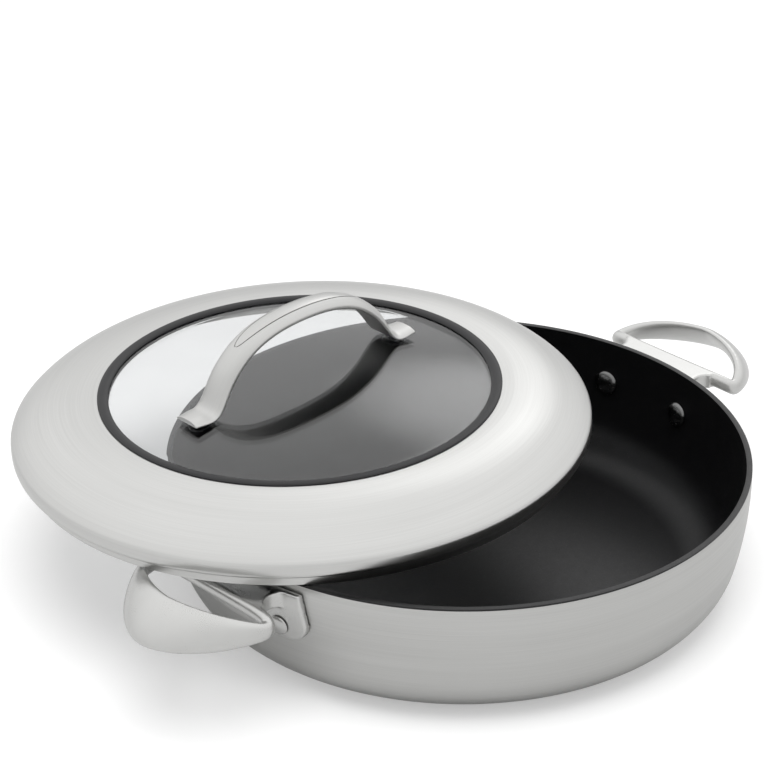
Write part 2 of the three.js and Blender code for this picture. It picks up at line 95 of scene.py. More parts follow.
PLATE_HALF_WIDTH = 44.5
PLATE_TOP_HALF_WIDTH = 41
PLATE_TOP_DROP = 5
PLATE_HEIGHT = 29
PLATE_THICKNESS = 3.6
PLATE_CORNER_RADIUS = 11
PLATE_CORNER_STEPS = 8
CASTING_VOXEL = 0.6
CASTING_ROUNDS = 11  # of smoothing, for the rounded edges of a casting
CASTING_SMOOTHING = 0.5

# Rivets
RIVET_SPACING = 56
RIVET_DROP = 26
RIVET_RADIUS = 2.8
RIVET_HEAD_RADIUS = 7.5
RIVET_HEAD_HEIGHT = 3.2
RIVET_TAIL_RADIUS = 5.6
RIVET_TAIL_HEIGHT = 2.4
RIVET_STANDOFF = 0.36  # of the head's flat seat from the hollow wall
RIVET_EDGE = 0.3
RIVET_HEADS_WITHIN = 0.155  # metres from the pan's axis
RIVET_TAILS_BEYOND = 0.16  # metres from the pan's axis

# Lid, with heights above its lower edge
LID_RADIUS = RIM_RADIUS
SPIGOT_RADIUS = RIM_RADIUS - WALL_THICKNESS - 2.4
SPIGOT_DEPTH = 6.4
BEAD_HEIGHT = 6.4
CREASE_HEIGHT = 3.4
CREASE_INSET = 1.8
DOME_RISE = 16.6
DOME_EDGE_PULL = 0.22
DOME_EDGE_RISE = 0.7
DOME_FLAT_PULL = 0.43
LID_SHEET = 1.2
LID_EDGE = 0.3
BEND_STEPS = 5
BEAD_STEPS = 8
CREASE_STEPS = 6
DOME_POINTS = 24
WINDOW_RADIUS = 109
GASKET_RISE = 1.2
GASKET_LIP = 2.2
GASKET_INNER_LIP = 2.5
GASKET_WEB = 1
GASKET_FOOT = 1.5
GASKET_EDGE = 0.15
GASKET_CROWN_POINTS = 10
GLASS_THICKNESS = 4
GLASS_DROP = 1.8
GLASS_SAG = 9.6  # rise of the window's middle over its edge
GLASS_FLAT = 3  # width of the flat edge that sits in the seal
GLASS_RINGS = 24
GLASS_EDGE = 0.4
EDGE_TOP = SPIGOT_DEPTH + BEAD_HEIGHT
DOME_FOOT = EDGE_TOP + CREASE_HEIGHT
DOME_TOP = DOME_FOOT + DOME_RISE
SEAL_TOP = DOME_TOP + GASKET_RISE
GLASS_TOP = SEAL_TOP - GLASS_DROP
GLASS_BOTTOM = GLASS_TOP - GLASS_THICKNESS
GASKET_WEB_OUTER = WINDOW_RADIUS - SEAT_GAP
GASKET_WEB_INNER = GASKET_WEB_OUTER - GASKET_WEB
GLASS_RADIUS = GASKET_WEB_INNER - SEAT_GAP

# Lid handle and its fastening
SCREW_OFFSET = 69.5
FOOT_REACH = 9
FOOT_HALF_WIDTH = 9.6
FOOT_TAPER = 0.12
FOOT_THICKNESS = 2.8
STRAP_HALF_WIDTH = 9.1
STRAP_THICKNESS = 6
STRAP_CROWN = 0.66  # share of the thickness that the edges lie below the middle
STRAP_CROWN_POWER = 2.8
STRAP_EDGE = 0.5
ARCH_HEIGHT = 36.9
ARCH_SHOULDER = 48.6
ARCH_SHOULDER_HEIGHT = 19.8
ARCH_CROWN_PULL = 0.6
ARCH_LEG_PULL = 0.17
FOOT_BEND_PULL = 0.45
ARCH_STEPS = 16
FOOT_STEPS = 6
CROWN_STEPS = 6  # from an edge of the strap to its middle
PANEL_HALF_LENGTH = 40
PANEL_HALF_WIDTH = 4.8
PANEL_GROOVE = 0.6  # width and depth of the groove round the panel
PANEL_STEPS = 40
PANEL_END = 0.99  # share of its length at which a tool for its groove ends bluntly
GROOVE_TOOL_LOW = 0.5  # in thicknesses of the strap
GROOVE_TOOL_HIGH = 1.5
GROOVE_TOOL_MARGIN = 0.1
FOOT_STANDOFF = 7  # of the foot from the level of the window's edge
FERRULE_RADIUS = 4.2
FERRULE_HEIGHT = 0.5
PAD_THICKNESS = 0.4
PAD_RADIUS = 4.6
PAD_GAP = 0.1
SCREW_RADIUS = 2.4
SCREW_HEAD_RADIUS = 4.6
SCREW_HEAD_HEIGHT = 2.6
SCREW_GRIP = 1.8
WASHER_RADIUS = 6.6
WASHER_THICKNESS = 1.4
COLLAR_EDGE = 0.2  # rounding of pads, washers and ferrules
SCREW_SLOT_WIDTH = 1
FOOT_BOTTOM = GLASS_TOP + FOOT_STANDOFF

# Steps round turned pieces
LARGE_STEPS = 180
SMALL_STEPS = 40


# Outlines, with the radius as x and the height as z

def spot(x, z):
    return Vector((x, 0, z))


def arc(centre, radius, start, end, steps):
    """Points of an arc. Its angles are in degrees, with 0 outwards and 90 up."""
    angles = [math.radians(start + (end - start) * i / steps) for i in range(steps + 1)]
    return [centre + spot(math.cos(angle), math.sin(angle)) * radius for angle in angles]


def curve(start, pull, end, steps):
    """Points of a curve with one pull, from start to end."""
    return interpolate_bezier(start, start.lerp(pull, 2 / 3), end.lerp(pull, 2 / 3), end, steps + 1)


def offset_left(points, distance):
    """An outline moved to its left by a distance."""
    moved = []
    for i, here in enumerate(points):
        before = points[max(i - 1, 0)]
        after = points[min(i + 1, len(points) - 1)]
        along = ((here - before).normalized() + (after - here).normalized()).normalized()
        moved.append(here + spot(-along.z, along.x) * distance)
    return moved


def up_to(points, height):
    """A rising outline, ended at a height."""
    low = [point for point in points if point.z < height]
    below = low[-1]
    above = points[len(low)] if len(low) < len(points) else below + (below - low[-2])
    share = (height - below.z) / (above.z - below.z)
    return low + [below.lerp(above, share)]


def pan_outline():
    """Outside of the pan, from the axis along the base, round the corner and up the swelling wall."""
    lean = math.radians(WALL_START_LEAN)
    corner = arc(spot(BASE_RADIUS, CORNER_RADIUS), CORNER_RADIUS, -90, -WALL_START_LEAN, CORNER_STEPS)
    rim = spot(RIM_RADIUS, PAN_HEIGHT)
    pull = corner[-1] + spot(math.sin(lean), math.cos(lean)) * (rim - corner[-1]).length / 2
    return [spot(0, 0), *corner, *curve(corner[-1], pull, rim, WALL_STEPS)[1:]]


PAN_OUTSIDE = pan_outline()


def wall_at(height):
    """Radius and lean of the wall's outer face at a height."""
    above = next(i for i, point in enumerate(PAN_OUTSIDE) if point.z >= height)
    low, high = PAN_OUTSIDE[above - 1], PAN_OUTSIDE[above]
    share = (height - low.z) / (high.z - low.z)
    return low.lerp(high, share).x, math.atan2(high.x - low.x, high.z - low.z)


# Modelling steps

def deselect():
    bpy.ops.object.select_all(action="DESELECT")


def make_active(piece):
    deselect()
    piece.select_set(True)
    bpy.context.view_layer.objects.active = piece


def draw(name, points):
    """Draws edges through points by extruding one corner. It stays in edit mode, all selected."""
    deselect()
    bpy.ops.mesh.primitive_circle_add(vertices=3, radius=MM)
    piece = bpy.context.object
    piece.name = piece.data.name = name
    bpy.ops.object.mode_set(mode="EDIT")
    bpy.ops.mesh.select_all(action="SELECT")
    bpy.ops.mesh.merge(type="CENTER")
    bpy.ops.transform.translate(value=points[0] * MM)
    for here, there in zip(points, points[1:]):
        bpy.ops.mesh.extrude_vertices_move(TRANSFORM_OT_translate={"value": (there - here) * MM})
    bpy.ops.mesh.select_all(action="SELECT")
    bpy.ops.mesh.remove_doubles(threshold=MERGE_DISTANCE)
    return piece


def close_up():
    """Merges the doubles of the mesh in edit mode, turns its faces outwards and leaves edit mode."""
    bpy.ops.mesh.select_all(action="SELECT")
    bpy.ops.mesh.remove_doubles(threshold=MERGE_DISTANCE)
    bpy.ops.mesh.normals_make_consistent(inside=False)
    bpy.ops.object.mode_set(mode="OBJECT")


def turned(name, outline, steps):
    """Spins an outline round the Z axis. It starts and ends on the axis, or closes on itself."""
    piece = draw(name, outline)
    bpy.ops.mesh.spin(steps=steps, angle=FULL_TURN, center=(0, 0, 0), axis=(0, 0, 1))
    close_up()
    return piece


def ringed(outline):
    return [*outline, outline[0]]


def modify(piece, kind, **settings):
    """Adds a modifier with its settings and applies it."""
    make_active(piece)
    modifier = piece.modifiers.new(kind, kind)
    for setting, value in settings.items():
        setattr(modifier, setting, value)
    bpy.ops.object.modifier_apply(modifier=modifier.name)


def round_edges(piece, width, segments=3, angle=35):
    modify(piece, "BEVEL", width=width * MM, segments=segments, limit_method="ANGLE",
           angle_limit=math.radians(angle))


def cut(piece, cutter, operation="DIFFERENCE"):
    modify(piece, "BOOLEAN", object=cutter, operation=operation, solver="EXACT")
    bpy.data.objects.remove(cutter)


def settle(piece, place):
    """Moves a piece to its place, and keeps that place in its mesh."""
    make_active(piece)
    piece.matrix_world = place
    bpy.ops.object.transform_apply(location=True, rotation=True, scale=True)


def copy_of(piece, name):
    twin = piece.copy()
    twin.data = piece.data.copy()
    twin.name = twin.data.name = name
    bpy.context.scene.collection.objects.link(twin)
    return twin


def hand_over(piece, body, node, finish, smooth_angle=40):
    """Shades a finished piece smooth, gives it its material and its body, and hides the imported node
    that it stands for.
    """
    make_active(piece)
    bpy.ops.object.shade_smooth_by_angle(angle=math.radians(smooth_angle))
    piece.data.materials.clear()
    piece.data.materials.append(finish)
    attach(piece, body)
    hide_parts(node)


# Shader sums

class Value:
    """A number that changes over a surface. Sums with it add nodes to its material."""

    def __init__(self, finish, socket):
        self.finish = finish
        self.socket = socket

    def sum(self, operation, first, second):
        node = self.finish.node("ShaderNodeMath", {"operation": operation}, {0: first, 1: second})
        return Value(self.finish, node.outputs[0])

    def __add__(self, other):
        return self.sum("ADD", self, other)

    def __radd__(self, other):
        return self.sum("ADD", other, self)

    def __sub__(self, other):
        return self.sum("SUBTRACT", self, other)

    def __rsub__(self, other):
        return self.sum("SUBTRACT", other, self)

    def __mul__(self, other):
        return self.sum("MULTIPLY", self, other)

    def __rmul__(self, other):
        return self.sum("MULTIPLY", other, self)

    def __pow__(self, other):
        return self.sum("POWER", self, other)


class Finish:
    """A node material with one shader, and short ways to add what feeds it."""

    def __init__(self, name, **constants):
        self.material = bpy.data.materials.new(name)
        self.material.use_nodes = True
        self.tree = self.material.node_tree
        self.tree.nodes.clear()
        self.output = self.node("ShaderNodeOutputMaterial")
        self.shader = self.node("ShaderNodeBsdfPrincipled")
        self.link(self.shader.outputs[0], self.output.inputs["Surface"])
        for name, value in constants.items():
            self.shader.inputs[name.replace("_", " ")].default_value = value

    def link(self, source, target):
        self.tree.links.new(source, target)

    def node(self, kind, settings=None, values=None):
        """Adds a node, sets its settings and then the values or links of its sockets."""
        node = self.tree.nodes.new(kind)
        for setting, value in (settings or {}).items():
            setattr(node, setting, value)
        for socket, value in (values or {}).items():
            self.feed(node.inputs[socket], value)
        return node

    def feed(self, socket, value):
        if isinstance(value, Value):
            value = value.socket
        if isinstance(value, bpy.types.NodeSocket):
            self.link(value, socket)
        else:
            socket.default_value = value

    def set(self, name, value):
        self.feed(self.shader.inputs[name], value)

    def coordinates(self, place=None):
        """Object coordinates, or those of a piece that stands at a place."""
        own = self.node("ShaderNodeTexCoord").outputs["Object"]
        if place is None:
            return own
        values = {"Vector": own, "Location": place.translation, "Rotation": place.to_euler()}
        return self.node("ShaderNodeMapping", {"vector_type": "TEXTURE"}, values).outputs[0]

    def parts(self, vector):
        node = self.node("ShaderNodeSeparateXYZ", {}, {"Vector": vector})
        return [Value(self, output) for output in node.outputs]

    def vector(self, x, y, z):
        return self.node("ShaderNodeCombineXYZ", {}, {"X": x, "Y": y, "Z": z}).outputs[0]

    def noise(self, vector, scale, detail=2.0, roughness=0.5):
        values = {"Vector": vector, "Scale": scale, "Detail": detail, "Roughness": roughness}
        return Value(self, self.node("ShaderNodeTexNoise", {}, values).outputs[0])

    def spread(self, value, low, high):
        """Stretches a value so that low becomes 0 and high becomes 1."""
        values = {"Value": value, "From Min": low, "From Max": high}
        return Value(self, self.node("ShaderNodeMapRange", {"clamp": True}, values).outputs[0])

    def blend(self, amount, first, second):
        """A colour between two."""
        settings = {"data_type": "RGBA"}
        values = {"Factor": amount, 6: (*first, 1), 7: (*second, 1)}
        return self.node("ShaderNodeMix", settings, values).outputs[2]

    def relief(self, height, depth):
        """Raises the surface by a height times a depth in millimetres."""
        values = {"Height": height, "Distance": depth * MM, "Strength": 1.0}
        self.set("Normal", self.node("ShaderNodeBump", {}, values).outputs[0])


# Finishes

def brushed_steel(name, place, rise, dark, bright, roughness):
    """Steel brushed round the axis of a turned piece. rise is 1 where its outline rises outwards."""
    finish = Finish(name, Metallic=1.0, Anisotropic=0.55)
    x, y, z = finish.parts(finish.coordinates(place))
    radius = (x * x + y * y) ** 0.5
    along = radius + z * rise
    lines = finish.noise(finish.vector(x * 9, y * 9, along * 1500), 1.0, 3.0, 0.65)
    bands = finish.noise(finish.vector(x * 4, y * 4, along * 160), 1.0, 2.0)
    clouds = finish.noise(finish.vector(x, y, z), 14.0, 2.0)
    streaks = finish.spread(lines * 0.6 + bands * 0.2 + clouds * 0.2, 0.3, 0.7)
    finish.set("Base Color", finish.blend(streaks, dark, bright))
    finish.set("Roughness", roughness + (0.5 - lines) * 0.14 + (clouds - 0.5) * 0.1)
    finish.relief(lines, 0.008)
    return finish.material


def cast_steel():
    """Cast and blasted steel: a fine satin grain over soft unevenness."""
    finish = Finish("satin_cast_steel", Metallic=1.0)
    place = finish.coordinates()
    grain = finish.noise(place, 2600.0, 2.0)
    swell = finish.noise(place, 55.0, 3.0)
    finish.set("Base Color", finish.blend(swell, (0.51, 0.51, 0.50), (0.58, 0.58, 0.57)))
    finish.set("Roughness", 0.3 + (grain - 0.5) * 0.12 + (swell - 0.5) * 0.12)
    finish.relief(grain * 0.3 + swell, 0.05)
    return finish.material


def handle_steel():
    """Steel strap brushed along its length, which is the lid's own X direction."""
    finish = Finish("brushed_strap_steel", Metallic=1.0)
    x, y, z = finish.parts(finish.coordinates(LID_PLACE))
    lines = finish.noise(finish.vector(x * 25, y * 1700, z * 60), 1.0, 3.0, 0.6)
    clouds = finish.noise(finish.vector(x, y, z), 60.0, 2.0)
    streaks = lines * 0.6 + clouds * 0.4
    finish.set("Base Color", finish.blend(streaks, (0.48, 0.48, 0.47), (0.58, 0.58, 0.57)))
    finish.set("Roughness", 0.36 + (lines - 0.5) * 0.12 + (clouds - 0.5) * 0.1)
    finish.relief(lines, 0.01)
    return finish.material


def nonstick():
    """Black non-stick coating with a fine orange-peel grain and faint lighter flecks."""
    finish = Finish("black_nonstick", Specular_IOR_Level=0.36)
    place = finish.coordinates()
    grain = finish.noise(place, 900.0, 2.0)
    peel = finish.noise(place, 260.0, 2.0)
    flecks = finish.spread(finish.noise(place, 1700.0, 1.0), 0.66, 0.74)
    finish.set("Base Color", finish.blend(flecks, (0.0035, 0.0035, 0.004), (0.022, 0.022, 0.023)))
    finish.set("Roughness", 0.4 + (grain - 0.5) * 0.16 + (peel - 0.5) * 0.1)
    finish.relief(grain * 0.3 + peel, 0.004)
    return finish.material


def rivet_steel():
    """Scuffed rivet metal with painted shade: the heads inside the pan are painted darker than the
    tails, for the dark interior that they reflect.
    """
    finish = Finish("scuffed_rivet_steel_painted_shade", Metallic=1.0)
    place = finish.coordinates()
    scuffs = finish.noise(place, 420.0, 4.0, 0.6)
    x, y, _ = finish.parts(place)
    # Painted shade: the metal is painted darker within the pan's rim, where the heads reflect the
    # black interior, and lighter on the tails outside.
    outside = finish.spread((x * x + y * y) ** 0.5, RIVET_HEADS_WITHIN, RIVET_TAILS_BEYOND)
    painted_shade_and_scuffs = outside * 0.8 + scuffs * 0.2
    finish.set("Base Color", finish.blend(painted_shade_and_scuffs, (0.14, 0.14, 0.14), (0.5, 0.5, 0.49)))
    finish.set("Roughness", 0.24 + (scuffs - 0.5) * 0.24)
    finish.relief(scuffs, 0.03)
    return finish.material


def silicone():
    """Dark grey silicone with a satin skin and a little lint."""
    finish = Finish("dark_grey_silicone", Specular_IOR_Level=0.28)
    place = finish.coordinates()
    clouds = finish.noise(place, 120.0, 3.0)
    skin = finish.noise(place, 1800.0, 2.0)
    finish.set("Base Color", finish.blend(clouds, (0.009, 0.009, 0.010), (0.015, 0.015, 0.016)))
    finish.set("Roughness", 0.42 + (skin - 0.5) * 0.16 + (clouds - 0.5) * 0.12)
    finish.relief(skin, 0.012)
    return finish.material


def bright_steel():
    """Turned and polished steel with faint tool marks."""
    finish = Finish("bright_turned_steel", Metallic=1.0)
    x, y, z = finish.parts(finish.coordinates(LID_PLACE))
    marks = finish.noise(finish.vector(x * 30, y * 30, z * 2200), 1.0, 2.0)
    finish.set("Base Color", finish.blend(marks, (0.70, 0.70, 0.70), (0.80, 0.80, 0.80)))
    finish.set("Roughness", 0.1 + (marks - 0.5) * 0.08)
    finish.relief(marks, 0.005)
    return finish.material


def window_glass():
    """Clear glass that lets light through to what lies under it."""
    finish = Finish("window_glass", Transmission_Weight=1.0, IOR=1.52, Roughness=0.0)
    place = finish.coordinates()
    haze = finish.noise(place, 40.0, 3.0)
    finish.set("Base Color", finish.blend(haze, (0.66, 0.67, 0.675), (0.71, 0.72, 0.725)))
    clear = finish.node("ShaderNodeBsdfTransparent", {}, {"Color": (0.45, 0.46, 0.46, 1)})
    path = finish.node("ShaderNodeLightPath")
    mixed = finish.node("ShaderNodeMixShader", {}, {0: path.outputs["Is Shadow Ray"]})
    finish.link(finish.shader.outputs[0], mixed.inputs[1])
    finish.link(clear.outputs[0], mixed.inputs[2])
    finish.link(mixed.outputs[0], finish.output.inputs["Surface"])
    return finish.material


# Where the lid lies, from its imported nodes

def middle(node):
    low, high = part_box(node)
    return (low + high) / 2


def lid_place():
    """Frame of the lid: on its axis at its lower edge, with its handle along X."""
    across = (middle("lid_screw_right") - middle("lid_screw_left")).normalized()
    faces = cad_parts["lid_glass"].data.polygons
    up = max(faces, key=lambda face: face.area).normal.copy()
    if up.z < 0:
        up.negate()
    axes = Matrix((across, up.cross(across), up)).transposed()
    glass_height = (GLASS_TOP + GLASS_BOTTOM) / 2 * MM
    return Matrix.LocRotScale(middle("lid_glass") - up * glass_height, axes, None)


LID_PLACE = lid_place()
PAN_PLACE = Matrix.Identity(4)
ON_LID_AXIS = Matrix.Identity(4)
SHELL_STEEL = brushed_steel(
    "brushed_pan_steel", PAN_PLACE, 1, (0.47, 0.47, 0.46), (0.54, 0.54, 0.53), 0.34)
LID_STEEL = brushed_steel(
    "brushed_lid_steel", LID_PLACE, -1, (0.53, 0.53, 0.52), (0.60, 0.60, 0.59), 0.33)
CAST_STEEL = cast_steel()
STRAP_STEEL = handle_steel()
COATING = nonstick()
RIVET_STEEL = rivet_steel()
SILICONE = silicone()
BRIGHT_STEEL = bright_steel()
GLASS = window_glass()


# Pan

def pan_shell():
    top = PAN_HEIGHT - LINING_THICKNESS - BOND_GAP
    outside = up_to(PAN_OUTSIDE, top)
    inside = up_to(offset_left(PAN_OUTSIDE, STEEL_THICKNESS), top)
    inside[0].x = 0
    piece = turned("pan_body", outside + inside[::-1], LARGE_STEPS)
    round_edges(piece, SHELL_EDGE)
    hand_over(piece, "pan", "pan_shell", SHELL_STEEL)


def pan_lining():
    back = up_to(offset_left(PAN_OUTSIDE, LINING_DEPTH), PAN_HEIGHT - LINING_THICKNESS)
    face = up_to(offset_left(PAN_OUTSIDE, WALL_THICKNESS), PAN_HEIGHT)
    back[0].x = 0
    face[0].x = 0
    edge = [spot(RIM_RADIUS, PAN_HEIGHT - LINING_THICKNESS), spot(RIM_RADIUS, PAN_HEIGHT)]
    piece = turned("pan_coating", back + edge + face[::-1], LARGE_STEPS)
    round_edges(piece, LINING_EDGE)
    hand_over(piece, "pan", "pan_lining", COATING)


def dome(radius, edge, rise):
    """Outline of a low dome, from its edge to the axis."""
    steps = 10
    angles = [math.pi / 2 * i / steps for i in range(steps)]
    points = [spot(radius * math.cos(angle), edge + rise * math.sin(angle)) for angle in angles]
    return [*points, spot(0, edge + rise)]


def rivet_place(side, turn):
    radius, lean = wall_at(PAN_HEIGHT - RIVET_DROP)
    angle = turn + side * math.asin(RIVET_SPACING / 2 / radius)
    height = PAN_HEIGHT - RIVET_DROP
    return (Matrix.Rotation(angle, 4, "Z")
            @ Matrix.Translation(spot(radius, height) * MM)
            @ Matrix.Rotation(math.pi / 2 + lean, 4, "Y"))


def rivets():
    """Domed heads inside the pan, with shanks through wall and plate and closed tails on the plate."""
    head = -WALL_THICKNESS - SEAT_GAP - RIVET_STANDOFF
    tail = 2 * SEAT_GAP + PLATE_THICKNESS
    outline = dome(RIVET_HEAD_RADIUS, head, -RIVET_HEAD_HEIGHT)[::-1]
    outline += [spot(RIVET_RADIUS, head), spot(RIVET_RADIUS, tail)]
    outline += dome(RIVET_TAIL_RADIUS, tail, RIVET_TAIL_HEIGHT)
    model = turned("rivet", outline, SMALL_STEPS)
    round_edges(model, RIVET_EDGE, angle=50)
    for end, turn in (("right", 0), ("left", math.pi)):
        for name, side in (("a", 1), ("b", -1)):
            piece = copy_of(model, f"rivet_{end}_{name}")
            settle(piece, rivet_place(side, turn))
            hand_over(piece, "pan", f"handle_rivet_{end}_{name}", RIVET_STEEL)
    bpy.data.objects.remove(model)


# Side handles, modelled on the +X side

def loop_centre(turn):
    """Centre of the loop at a turn round it, and how far along it is from bar to bow."""
    bar, bow = RIM_RADIUS + BAR_STANDOFF, RIM_RADIUS + BOW_REACH
    widest = bar + LOOP_CORNER_DEPTH
    ahead, aside = math.cos(turn), math.sin(turn)
    power = LOOP_CORNER_POWER if ahead < 0 else BOW_FLANK_POWER
    reach = LOOP_CORNER_DEPTH if ahead < 0 else bow - widest
    x = widest + math.copysign(reach * abs(ahead) ** power, ahead)
    y = math.copysign(LOOP_HALF_WIDTH * abs(aside) ** power, aside)
    outward = max((x - bar) / (bow - bar), 0)
    dip = LOOP_CORNER_DIP * (1 - abs(ahead)) ** 2
    drop = BAR_DROP + (BOW_DROP - BAR_DROP) * outward + dip
    return Vector((x, y, PAN_HEIGHT - drop)), outward


def loop_ring(turn):
    """Adds one oval of the loop, upright at the bar and leaning out with the bow."""
    step = 0.01
    centre, outward = loop_centre(turn)
    along = loop_centre(turn + step)[0] - loop_centre(turn - step)[0]
    along.z = 0
    along.normalize()
    away = Vector((along.y, -along.x, 0))
    tilt = math.radians(BOW_TILT) * outward ** TILT_POWER
    tall = Vector((0, 0, math.cos(tilt))) - away * math.sin(tilt)
    thick = Vector((0, 0, math.sin(tilt))) + away * math.cos(tilt)
    height = BAR_HALF_HEIGHT + (BOW_HALF_HEIGHT - BAR_HALF_HEIGHT) * outward ** GROWTH_POWER
    thickness = BAR_HALF_THICKNESS + (BOW_HALF_THICKNESS - BAR_HALF_THICKNESS) * outward
    facing = Matrix((tall, thick, along)).transposed().to_euler()
    bpy.ops.mesh.primitive_circle_add(
        vertices=LOOP_SIDES, radius=MM, location=centre * MM, rotation=facing)
    ring = bpy.context.object
    fullness = 3 / (2 + math.cos(FULL_TURN / LOOP_SIDES))  # what subdividing takes off a ring
    ring.scale = (height * fullness, thickness * fullness, 1)
    return ring


def handle_loop():
    """Bridges a round of ovals into one closed loop and smooths it."""
    deselect()
    rings = [loop_ring((i + 0.5) / LOOP_RINGS * FULL_TURN) for i in range(LOOP_RINGS)]
    for ring in rings:
        ring.select_set(True)
    bpy.context.view_layer.objects.active = rings[0]
    bpy.ops.object.transform_apply(location=True, rotation=True, scale=True)
    bpy.ops.object.join()
    loop = bpy.context.object
    bpy.ops.object.mode_set(mode="EDIT")
    bpy.ops.mesh.select_all(action="SELECT")
    bpy.ops.mesh.bridge_edge_loops(type="CLOSED")
    close_up()
    modify(loop, "SUBSURF", levels=2, render_levels=2)
    return loop


def slab(name, outline, way):
    """Fills an outline and extrudes it along a way."""
    piece = draw(name, ringed(outline))
    bpy.ops.mesh.edge_face_add()
    bpy.ops.mesh.extrude_region_move(TRANSFORM_OT_translate={"value": way * MM})
    close_up()
    return piece


def handle_web():
    """Web between plate and bar, hollowed at both ends."""
    inner, outer = RIM_RADIUS - WEB_ROOT, RIM_RADIUS + BAR_STANDOFF
    top = PAN_HEIGHT - WEB_TOP_DROP
    outline = [
        Vector((inner, -WEB_HALF_WIDTH, top)),
        Vector((outer, -WEB_HALF_WIDTH, top)),
        Vector((outer, WEB_HALF_WIDTH, top)),
        Vector((inner, WEB_HALF_WIDTH, top)),
    ]
    web = slab("handle_web", outline, Vector((0, 0, -WEB_THICKNESS)))
    half_chord = (BAR_STANDOFF - BAR_HALF_THICKNESS) / 2
    radius = (half_chord ** 2 + WEB_WAIST ** 2) / (2 * WEB_WAIST)
    for side in (-1, 1):
        deselect()
        centre = Vector((RIM_RADIUS + half_chord, side * (WEB_HALF_WIDTH + radius - WEB_WAIST), top))
        bpy.ops.mesh.primitive_cylinder_add(
            vertices=WEB_HOLLOW_STEPS, radius=radius * MM, depth=4 * WEB_THICKNESS * MM,
            location=centre * MM)
        cut(web, bpy.context.object)
    return web


def handle_plate():
    """Round-cornered plate that follows the wall."""
    top = PAN_HEIGHT - PLATE_TOP_DROP
    bottom = top - PLATE_HEIGHT
    flat = PLATE_HALF_WIDTH - PLATE_CORNER_RADIUS
    near = RIM_RADIUS / 2
    corner = arc(spot(flat, bottom + PLATE_CORNER_RADIUS), PLATE_CORNER_RADIUS, -90, 0,
                 PLATE_CORNER_STEPS)
    half = [*corner, spot(PLATE_TOP_HALF_WIDTH, top)]
    around = half + [spot(-point.x, point.z) for point in half[::-1]]
    outline = [Vector((near, point.x, point.z)) for point in around]
    plate = slab("handle_plate", outline, Vector((RIM_RADIUS, 0, 0)))
    back = up_to(offset_left(PAN_OUTSIDE, -SEAT_GAP), PAN_HEIGHT)
    face = up_to(offset_left(PAN_OUTSIDE, -SEAT_GAP - PLATE_THICKNESS), PAN_HEIGHT)
    lowest = next(i for i, point in enumerate(back) if point.z > bottom / 2)
    sleeve = turned("wall_sleeve", ringed(face[lowest:] + back[lowest:][::-1]), LARGE_STEPS)
    cut(plate, sleeve, "INTERSECT")
    return plate


def side_handles():
    """Joins loop, web and plate into one rounded casting, and copies it to the other side."""
    loop = handle_loop()
    loop.name = loop.data.name = "handle_right"
    web, plate = handle_web(), handle_plate()
    make_active(loop)
    web.select_set(True)
    plate.select_set(True)
    bpy.ops.object.join()
    modify(loop, "REMESH", mode="VOXEL", voxel_size=CASTING_VOXEL * MM)
    modify(loop, "SMOOTH", factor=CASTING_SMOOTHING, iterations=CASTING_ROUNDS)
    twin = copy_of(loop, "handle_left")
    settle(twin, Matrix.Rotation(math.pi, 4, "Z"))
    hand_over(loop, "pan", "side_handle_right", CAST_STEEL, 180)
    hand_over(twin, "pan", "side_handle_left", CAST_STEEL, 180)


# Lid, modelled upright on its lower edge and then laid in its place

def ring_outline():
    """Outer face of the sheet, from the spigot's lower edge round the bead and over the dome."""
    step = SPIGOT_DEPTH / 3
    shoulder = LID_RADIUS - CREASE_INSET
    span = shoulder - WINDOW_RADIUS
    bend = spot(SPIGOT_RADIUS, SPIGOT_DEPTH - step)
    ledge = spot(SPIGOT_RADIUS + step, SPIGOT_DEPTH)
    side = spot(LID_RADIUS, SPIGOT_DEPTH + BEAD_HEIGHT / 2)
    rim = spot(LID_RADIUS, EDGE_TOP)
    foot = spot(shoulder, DOME_FOOT)
    dome_line = interpolate_bezier(
        foot,
        spot(shoulder - DOME_EDGE_PULL * span, DOME_FOOT + DOME_EDGE_RISE * DOME_RISE),
        spot(WINDOW_RADIUS + DOME_FLAT_PULL * span, DOME_TOP),
        spot(WINDOW_RADIUS, DOME_TOP),
        DOME_POINTS,
    )
    return [
        spot(SPIGOT_RADIUS, 0),
        *curve(bend, spot(SPIGOT_RADIUS, SPIGOT_DEPTH), ledge, BEND_STEPS),
        *curve(ledge, spot(LID_RADIUS, SPIGOT_DEPTH), side, BEAD_STEPS)[1:],
        *curve(rim, spot(LID_RADIUS, EDGE_TOP + CREASE_HEIGHT / 2), foot, CREASE_STEPS),
        *dome_line[1:],
    ]


def lid_piece(piece, node, finish, own_place=ON_LID_AXIS, smooth_angle=40):
    """Lays a piece of the lid in its place, from its own place on the lid."""
    settle(piece, LID_PLACE @ own_place)
    hand_over(piece, "lid", node, finish, smooth_angle)


def lid_ring():
    outside = ring_outline()
    inside = offset_left(outside, LID_SHEET)
    piece = turned("lid_dome", ringed(outside + inside[::-1]), LARGE_STEPS)
    round_edges(piece, LID_EDGE, angle=50)
    lid_piece(piece, "lid_ring", LID_STEEL)


